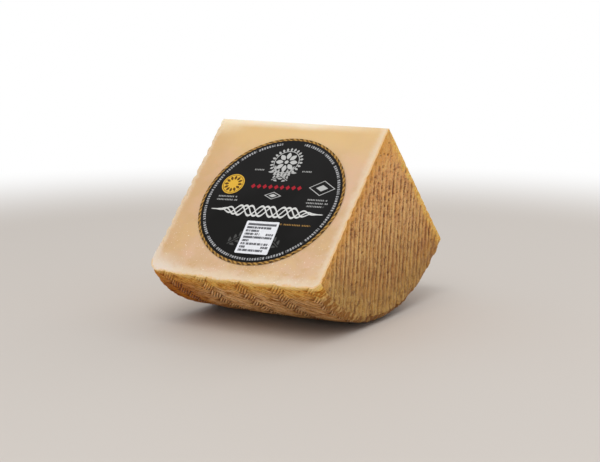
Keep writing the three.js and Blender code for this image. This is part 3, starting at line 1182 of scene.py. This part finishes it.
def rounded_outline(width, height, radius):
    """Points round a rectangle: four rounded corners, each with a straight stretch after it."""
    corners = []
    for quarter, (right, up) in enumerate([(1, 1), (-1, 1), (-1, -1), (1, -1)]):
        x, y = right * (width / 2 - radius), up * (height / 2 - radius)
        turns = [math.pi / 2 * (quarter + i / CORNER_POINTS) for i in range(CORNER_POINTS + 1)]
        corners.append([(x + radius * math.cos(t), y + radius * math.sin(t)) for t in turns])
    points = []
    for corner, following in zip(corners, corners[1:] + corners[:1]):
        straight = np.linspace(corner[-1], following[0], SIDE_POINTS + 1)[1:-1]
        points += corner + [tuple(p) for p in straight]
    return points


def sticker_rings():
    outline = rounded_outline(*STICKER_SIZE, STICKER_CORNER)
    mx, my = STICKER_PLACE
    rings = [[(mx + x * share, my + y * share) for x, y in outline] for share in STICKER_RINGS]
    return [[STICKER_PLACE]] + rings


def sticker_lift(right, up):
    """Two corners of the sticker curl off the label."""
    x = (right - STICKER_PLACE[0]) / (STICKER_SIZE[0] / 2)
    y = (up - STICKER_PLACE[1]) / (STICKER_SIZE[1] / 2)
    curl = max(x + y - 1.2, 0) ** 2 + 0.6 * max(-x - y - 1.3, 0) ** 2
    return STICKER_LIFT + 0.5 * curl


sticker = paper_sheet("small_white_sticker", sticker_rings(), sticker_lift, STICKER_THICKNESS)

# %% [markdown]
# ## The print on the papers
#
# The print is drawn with plain shapes in the shader: each shape is a mask that is 1 inside and
# 0 outside, worked out from the distance to the shape's edge. The label has a gold cord round
# it, a ring of fine dashes, a rosette over two leafy sprigs, a row of small red lozenges, a
# white braid, a gold sun and two outlined lozenges. All of it is plain ornament of the sort
# found on any cheese label.

# %% Shapes to print with
SOFT = 0.12  # millimetres over which a printed edge fades


def paper_place(start):
    """Right and up from the label's middle in millimetres, read from the UV map."""
    uv = start.node("ShaderNodeUVMap", {"uv_map": "OFBake"})
    u, v, _ = parts_of(uv)
    return (u - 0.5) * (2 * LABEL_RADIUS), (v - 0.5) * (2 * LABEL_RADIUS)


def inside(distance, soft=SOFT):
    """1 where the distance to an edge is below 0."""
    return ease(distance, soft, -soft)


def ring_mask(reach, low, high):
    return ease(reach, low - SOFT, low + SOFT) * ease(reach, high + SOFT, high - SOFT)


def share_of(turn, count):
    """The place from 0 to 1 within each of count equal parts of a full turn."""
    return (turn * (count / (2 * math.pi))) % 1


def lozenge(x, y, width, height):
    return (abs(x) / width + abs(y) / height - 1) * min(width, height)


def outlined_lozenge(x, y, outer, inner, line, filling=1.0):
    """A lozenge with an outline round it, each given as half its width and height."""
    return larger(inside(abs(lozenge(x, y, *outer)) - line), inside(lozenge(x, y, *inner)) * filling)


def leaf(x, y, half_length, half_width):
    """Two arcs that meet in points."""
    bow = larger(1 - (x / half_length) ** 2, 0.0) * half_width
    return larger(abs(y) - bow, abs(x) - half_length)


def turned(x, y, degrees):
    c, s = math.cos(math.radians(degrees)), math.sin(math.radians(degrees))
    return x * c + y * s, y * c - x * s


def petals(x, y, count, inner, outer, width):
    """A ring of pointed petals round the origin."""
    reach, turn = length(x, y), turn_of(x, y)
    part = 2 * math.pi / count
    folded = ((turn + part / 2) % part) - part / 2
    along = reach * cosine(folded) - (inner + outer) / 2
    return leaf(along, reach * sine(folded), (outer - inner) / 2, width)


def sprig(x, y, pairs, pitch, size, lean):
    """Leaves in pairs along a straight stem that rises from the origin."""
    row = smaller(larger(nearest(y / pitch), 0.0), pairs - 1.0)
    across, along = turned(abs(x) - size * 0.55, y - row * pitch - size * 0.35, lean)
    stem = larger(abs(x) - 0.22, abs(y - (pairs - 1) * pitch / 2) - (pairs * pitch / 2))
    return smaller(leaf(along, across, size * 0.62, size * 0.2), stem)


def dash_row(x, y, half):
    """A row of tiny upright dashes with gaps between small groups of them."""
    fine = abs((x / 0.95) % 1 - 0.5)
    group = abs((x / 5.2 + 0.2) % 1 - 0.5)
    marks = ease(fine, 0.36, 0.22) * ease(group, 0.47, 0.42)
    return marks * inside(abs(y) - 0.45) * inside(abs(x) - half)


print("The shapes are ready")

# %% [markdown]
# The label's border is a twisted gold cord, and inside it runs a ring of dashes, as fine as the
# small print of such labels.

# %% The label's border
TWISTS, NOTCHES = 84, 42
CORD = (39.0, 41.0)
DASHES, DASH_GROUPS = 158, 22
DASH_RING = (36.2, 37.6)


def gold_cord(color, reach, turn, fibre):
    """A twisted cord with dark notches round its outer edge."""
    twist = sine(turn * TWISTS + reach * 2.6)
    gold = mix(ease(twist, -0.6, 0.6), tone(116, 82, 36), tone(190, 146, 76))
    notch = abs(share_of(turn, NOTCHES) - 0.5) * 8 + (LABEL_RADIUS - reach) * 2.0
    notches = inside(notch - 2.0, 0.4) * ease(reach, 38.8, 39.4)
    gold = mix(ease(fibre, 0.4, 0.7) * 0.4, gold, tone(120, 90, 50))
    return layered(color, [
        (ring_mask(reach, *CORD), 1.0, gold),
        (notches, 0.8, tone(46, 32, 20)),
    ])


def dash_ring(reach, turn, fibre):
    """A ring of fine dashes, open at the top."""
    dash, group = abs(share_of(turn, DASHES) - 0.5), abs(share_of(turn, DASH_GROUPS) - 0.5)
    dashes = ease(dash, 0.36, 0.28) * ease(group, 0.47, 0.44) * ring_mask(reach, *DASH_RING)
    return dashes * ease(abs(turn), 0.17, 0.19) * ease(fibre, 0.3, 0.6)


print(f"The cord has {TWISTS} twists")

# %% [markdown]
# The ornaments stand one under the other, from the rosette at the top to the faint leaves at
# the bottom. Each is a small function of the place on the label.

# %% The label's ornaments
LOZENGE_PITCH, LOZENGES_EACH_SIDE = 3.4, 4
BRAID_UP, BRAID_SWING = -7.4, 3.1
BRAID_SHIFTS = (0.0, math.pi / 2, math.pi)
SUN_PLACE, SIGN_PLACE = (-26.0, 9.0), (26.4, 9.0)


def rosette(x, y):
    """A rosette in a scalloped ring, over two leafy sprigs."""
    up = y - 24.6
    middle = length(x, up)
    white = inside(petals(x, up, 8, 1.9, 6.4, 1.3))
    white = larger(white, inside(petals(x, up, 24, 7.3, 9.4, 0.62)) * 0.9)
    white = larger(white, ring_mask(middle, 6.9, 7.3))
    white = larger(white, inside(middle - 1.1))
    for side in (-1, 1):
        place = turned(x - side * 3.6, y - 13.4, side * 58)
        white = larger(white, inside(sprig(*place, 5, 2.5, 2.9, -32)) * 0.8)
    return white


def lozenge_row(x, y):
    cell = (x / LOZENGE_PITCH + 0.5) % 1 - 0.5
    number = abs(nearest(x / LOZENGE_PITCH))
    shape = lozenge(cell * LOZENGE_PITCH, y - 8.3, 1.35, 1.5)
    return inside(shape) * (number < LOZENGES_EACH_SIDE + 0.5)


def braid_strand(x, y, shift):
    """One of the strands that swing past each other, thinner towards its ends."""
    taper = ease(abs(x), 31.0, 14.0)
    off = y - BRAID_UP - sine(x * 0.5 + shift) * (BRAID_SWING * taper)
    return inside(abs(off) - (0.24 + 0.38 * taper)) * ease(abs(x), 33.0, 31.0)


def sun(color, x, y):
    """A gold disc with a ring and twelve dark rays."""
    x, y = x - SUN_PLACE[0], y - SUN_PLACE[1]
    reach = length(x, y)
    dark = larger(inside(petals(x, y, 12, 2.6, 5.3, 0.75)), ring_mask(reach, 5.5, 5.8))
    return mix(inside(reach - 6.4), color, mix(dark, tone(226, 178, 62), tone(96, 66, 24)))


def low_sprig(x, y, side):
    """A leafy sprig low on the label, on the left (-1) or on the right (1)."""
    place = turned(x - side * 13.5, y + 27.5, side * 52)
    return inside(sprig(*place, 5, 3.1, 3.9, -34), 0.2)


print(f"The row has {2 * LOZENGES_EACH_SIDE + 1} lozenges")

# %% Finish of the label
PALE_PRINT, GOLD_PRINT = tone(196, 196, 194), tone(190, 146, 78)
DASH_ROWS = [  # right and up from the label's middle, half its length, colour
    (-26.0, 0.9, 5.6, PALE_PRINT),
    (-26.0, -1.2, 6.4, PALE_PRINT),
    (26.4, 1.4, 5.6, PALE_PRINT),
    (26.4, -0.6, 6.6, PALE_PRINT),
    (26.4, -2.6, 5.0, PALE_PRINT),
    (-14.0, 19.0, 2.8, PALE_PRINT),
    (14.0, 19.0, 2.8, PALE_PRINT),
    (18.6, -14.6, 9.8, GOLD_PRINT),
]


def make_label_paper():
    material, start, shader = new_finish("black_label_paper", specular_ior_level=0.12)
    x, y = paper_place(start)
    reach, turn = length(x, y), turn_of(x, y)
    fibre = noise(vector(x, y, 0.0), 0.7, 3.0, 0.6)
    cloud = noise(vector(x, y, 4.0), 18.0, 2.0)
    # the black is lighter towards the label's top as a painted sheen
    black = mix(ease(cloud + y * 0.01, 0.2, 0.8), tone(17, 16, 15), tone(27, 26, 26))
    white = rosette(x, y)
    small_sign = outlined_lozenge(x, y - 2.8, (4.6, 2.2), (2.4, 1.1), 0.2)
    from_sign = (x - SIGN_PLACE[0], y - SIGN_PLACE[1])
    large_sign = outlined_lozenge(*from_sign, (7.2, 4.6), (3.4, 2.0), 0.22, 0.94)
    color = layered(gold_cord(black, reach, turn, fibre), [
        (dash_ring(reach, turn, fibre), 0.82, tone(206, 206, 208)),
        (white, 0.85, tone(208, 208, 206)),
        (lozenge_row(x, y), 0.9, tone(176, 34, 48)),
        (small_sign, 0.85, tone(208, 208, 206)),
        *[(braid_strand(x, y, shift), 0.92, tone(222, 222, 219)) for shift in BRAID_SHIFTS],
    ])
    color = layered(sun(color, x, y), [
        (large_sign, 0.85, tone(206, 206, 204)),
        *[(dash_row(x - rx, y - ry, half), 0.7, ink) for rx, ry, half, ink in DASH_ROWS],
        *[(low_sprig(x, y, side), 0.3, tone(130, 130, 128)) for side in (-1, 1)],
    ])
    rough = 0.5 + (fibre - 0.5) * 0.2 + white * 0.05
    feed(shader, color, rough, fibre, 0.03)
    return material


label_paper = make_label_paper()
label.data.materials.append(label_paper)
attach(label, "root")
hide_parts("round_label")
print("Finish:", label_paper.name)

# %% [markdown]
# The sticker is white label paper with rows of small dark bars, as a weighing machine prints,
# under one long bar at the top. A row has a bar from the left, of unequal length, and some rows
# have a short one on the right. Noise that changes from row to row cuts gaps into them.

# %% Finish of the sticker
STICKER_ROWS = 9


def make_sticker_paper():
    material, start, shader = new_finish("white_sticker_paper", specular_ior_level=0.4)
    x, y = paper_place(start)
    x, y = x - STICKER_PLACE[0], y - STICKER_PLACE[1]
    width, height = STICKER_SIZE
    fibre = noise(vector(x, y, 7.0), 0.6, 3.0, 0.6)
    place = y / (height / (STICKER_ROWS + 1))
    row = nearest(place)
    in_row = ease(abs(place - row), 0.38, 0.3) * (abs(row) < STICKER_ROWS / 2)
    top_row = row > (STICKER_ROWS / 2 - 1)
    far = 0.5 + 0.35 * sine(row * 2.7 + 0.6)
    left_bar = ease(x + width * 0.43, -0.1, 0.1) * ease(x - width * (far - 0.42), 0.1, -0.1)
    right_bar = ease(abs(x - width * 0.33), 2.2, 2.0) * ease(sine(row * 1.9), -0.4, -0.2)
    bars = larger(larger(left_bar, right_bar), top_row * ease(abs(x), 7.4, 7.2))
    gaps = noise(vector(x * 2.4, row * 5.3, 1.0), 1.0, 0.0)
    bars = in_row * bars * larger(ease(gaps, 0.34, 0.38), top_row * 0.9)
    white = mix(ease(fibre, 0.35, 0.65), tone(226, 227, 233), tone(238, 239, 243))
    color = mix(bars * 0.9, white, tone(44, 44, 52))
    feed(shader, color, 0.5 + (fibre - 0.5) * 0.2, fibre, 0.02)
    return material


sticker_paper = make_sticker_paper()
sticker.data.materials.append(sticker_paper)
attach(sticker, "root")
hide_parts("white_sticker")
print("Finish:", sticker_paper.name)

# %% [markdown]
# ## The studio
#
# A pale floor that fades to white away from the cheese works like a paper sweep: from every
# side the cheese stands in front of plain white. A large soft light above the front, a weaker
# one behind, and a white surround give the soft daylight look.

# %% Floor
FLOOR_HALF = 3.0
FLOOR_DROP = 0.0002
FADE_START, FADE_END = 0.32, 0.62  # metres from the cheese


def make_floor():
    mesh = bpy.data.meshes.new("studio_floor")
    corners = [(-1, -1), (1, -1), (1, 1), (-1, 1)]
    places = [(x * FLOOR_HALF, y * FLOOR_HALF, -FLOOR_DROP) for x, y in corners]
    mesh.from_pydata(places, [], [(0, 1, 2, 3)])
    floor = bpy.data.objects.new("studio_floor", mesh)
    bpy.context.scene.collection.objects.link(floor)
    material, start, shader = new_finish(
        "pale_floor", base_color=tone(207, 200, 193), roughness=0.6, specular_ior_level=0.2
    )
    x, y, _ = parts_of(start.node("ShaderNodeTexCoord", None, None, out=3))
    white = start.node("ShaderNodeEmission", None, {"Color": (1, 1, 1, 1), "Strength": 1.0})
    sockets = {
        0: ease(length(x, y), FADE_START, FADE_END),
        1: Value(start.tree, shader.outputs[0]),
        2: white,
    }
    fade = start.node("ShaderNodeMixShader", None, sockets)
    output = start.tree.nodes["Material Output"]
    start.tree.links.new(fade.socket, output.inputs["Surface"])
    mesh.materials.append(material)
    floor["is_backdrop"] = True


make_floor()
print("The floor is ready")

# %% Lights and surround
SURROUND = 0.62  # how strongly the white surround lights the cheese
LIT_POINT = (0, 0, 0.05)


def soft_light(name, place, size, watts):
    """A round soft light that looks at the cheese. The place and size are in metres."""
    data = bpy.data.lights.new(name, "AREA")
    data.shape, data.size, data.energy = "DISK", size, watts
    light = bpy.data.objects.new(name, data)
    light.location = place
    direction = Vector(LIT_POINT) - Vector(place)
    light.rotation_euler = direction.to_track_quat("-Z", "Y").to_euler()
    bpy.context.scene.collection.objects.link(light)


def make_surround():
    """White to the camera, and a dimmer white as a light."""
    world = bpy.data.worlds.new("white_surround")
    bpy.context.scene.world = world
    world.use_nodes = True
    start = Value(world.node_tree)
    seen = start.node("ShaderNodeLightPath")
    strength = seen + SURROUND * (1 - seen)
    background = world.node_tree.nodes["Background"]
    background.inputs["Color"].default_value = (1, 1, 1, 1)
    world.node_tree.links.new(strength.socket, background.inputs["Strength"])


soft_light("key_light", (0.3, -0.95, 1.35), 1.1, 11)
soft_light("back_light", (0.3, 1.3, 1.1), 1.2, 5)
make_surround()
bpy.context.scene.view_settings.view_transform = "Standard"
print("The studio is lit")

# %% [markdown]
# ## The camera
#
# The camera stands to the front right, a little above the cheese, and looks slightly down. An
# 85 mm lens from three quarters of a metre keeps the lines of the quarter calm.

# %% Camera
CAMERA_PLACE = (374.69, -645.23, 177.50)
CAMERA_DOWN, CAMERA_YAW = 10.19, 30.24
LENS, SENSOR_WIDTH = 85, 36
camera_data = bpy.data.cameras.new("camera")
camera_data.lens, camera_data.sensor_width = LENS, SENSOR_WIDTH
camera_data.sensor_fit = "HORIZONTAL"
camera_data.clip_start, camera_data.clip_end = 0.01, 20
camera = bpy.data.objects.new("camera", camera_data)
camera.location = Vector(CAMERA_PLACE) * MM
camera.rotation_euler = (math.radians(90 - CAMERA_DOWN), 0, math.radians(CAMERA_YAW))
bpy.context.scene.collection.objects.link(camera)
bpy.context.scene.camera = camera
print("The camera looks down by", CAMERA_DOWN, "degrees")

# %% [markdown]
# ## The sizes at the end
#
# Both boxes, the frame's and the visual model's, are printed side by side. The visual model
# has to keep to the frame's size.

# %% Print both sizes
boxes = {
    "cad": [list(corner_point) for corner_point in cad_box],
    "visual": [list(corner_point) for corner_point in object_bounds()],
}
for name, box in boxes.items():
    print(name, [[round(v / MM, 1) for v in corner_point] for corner_point in box])
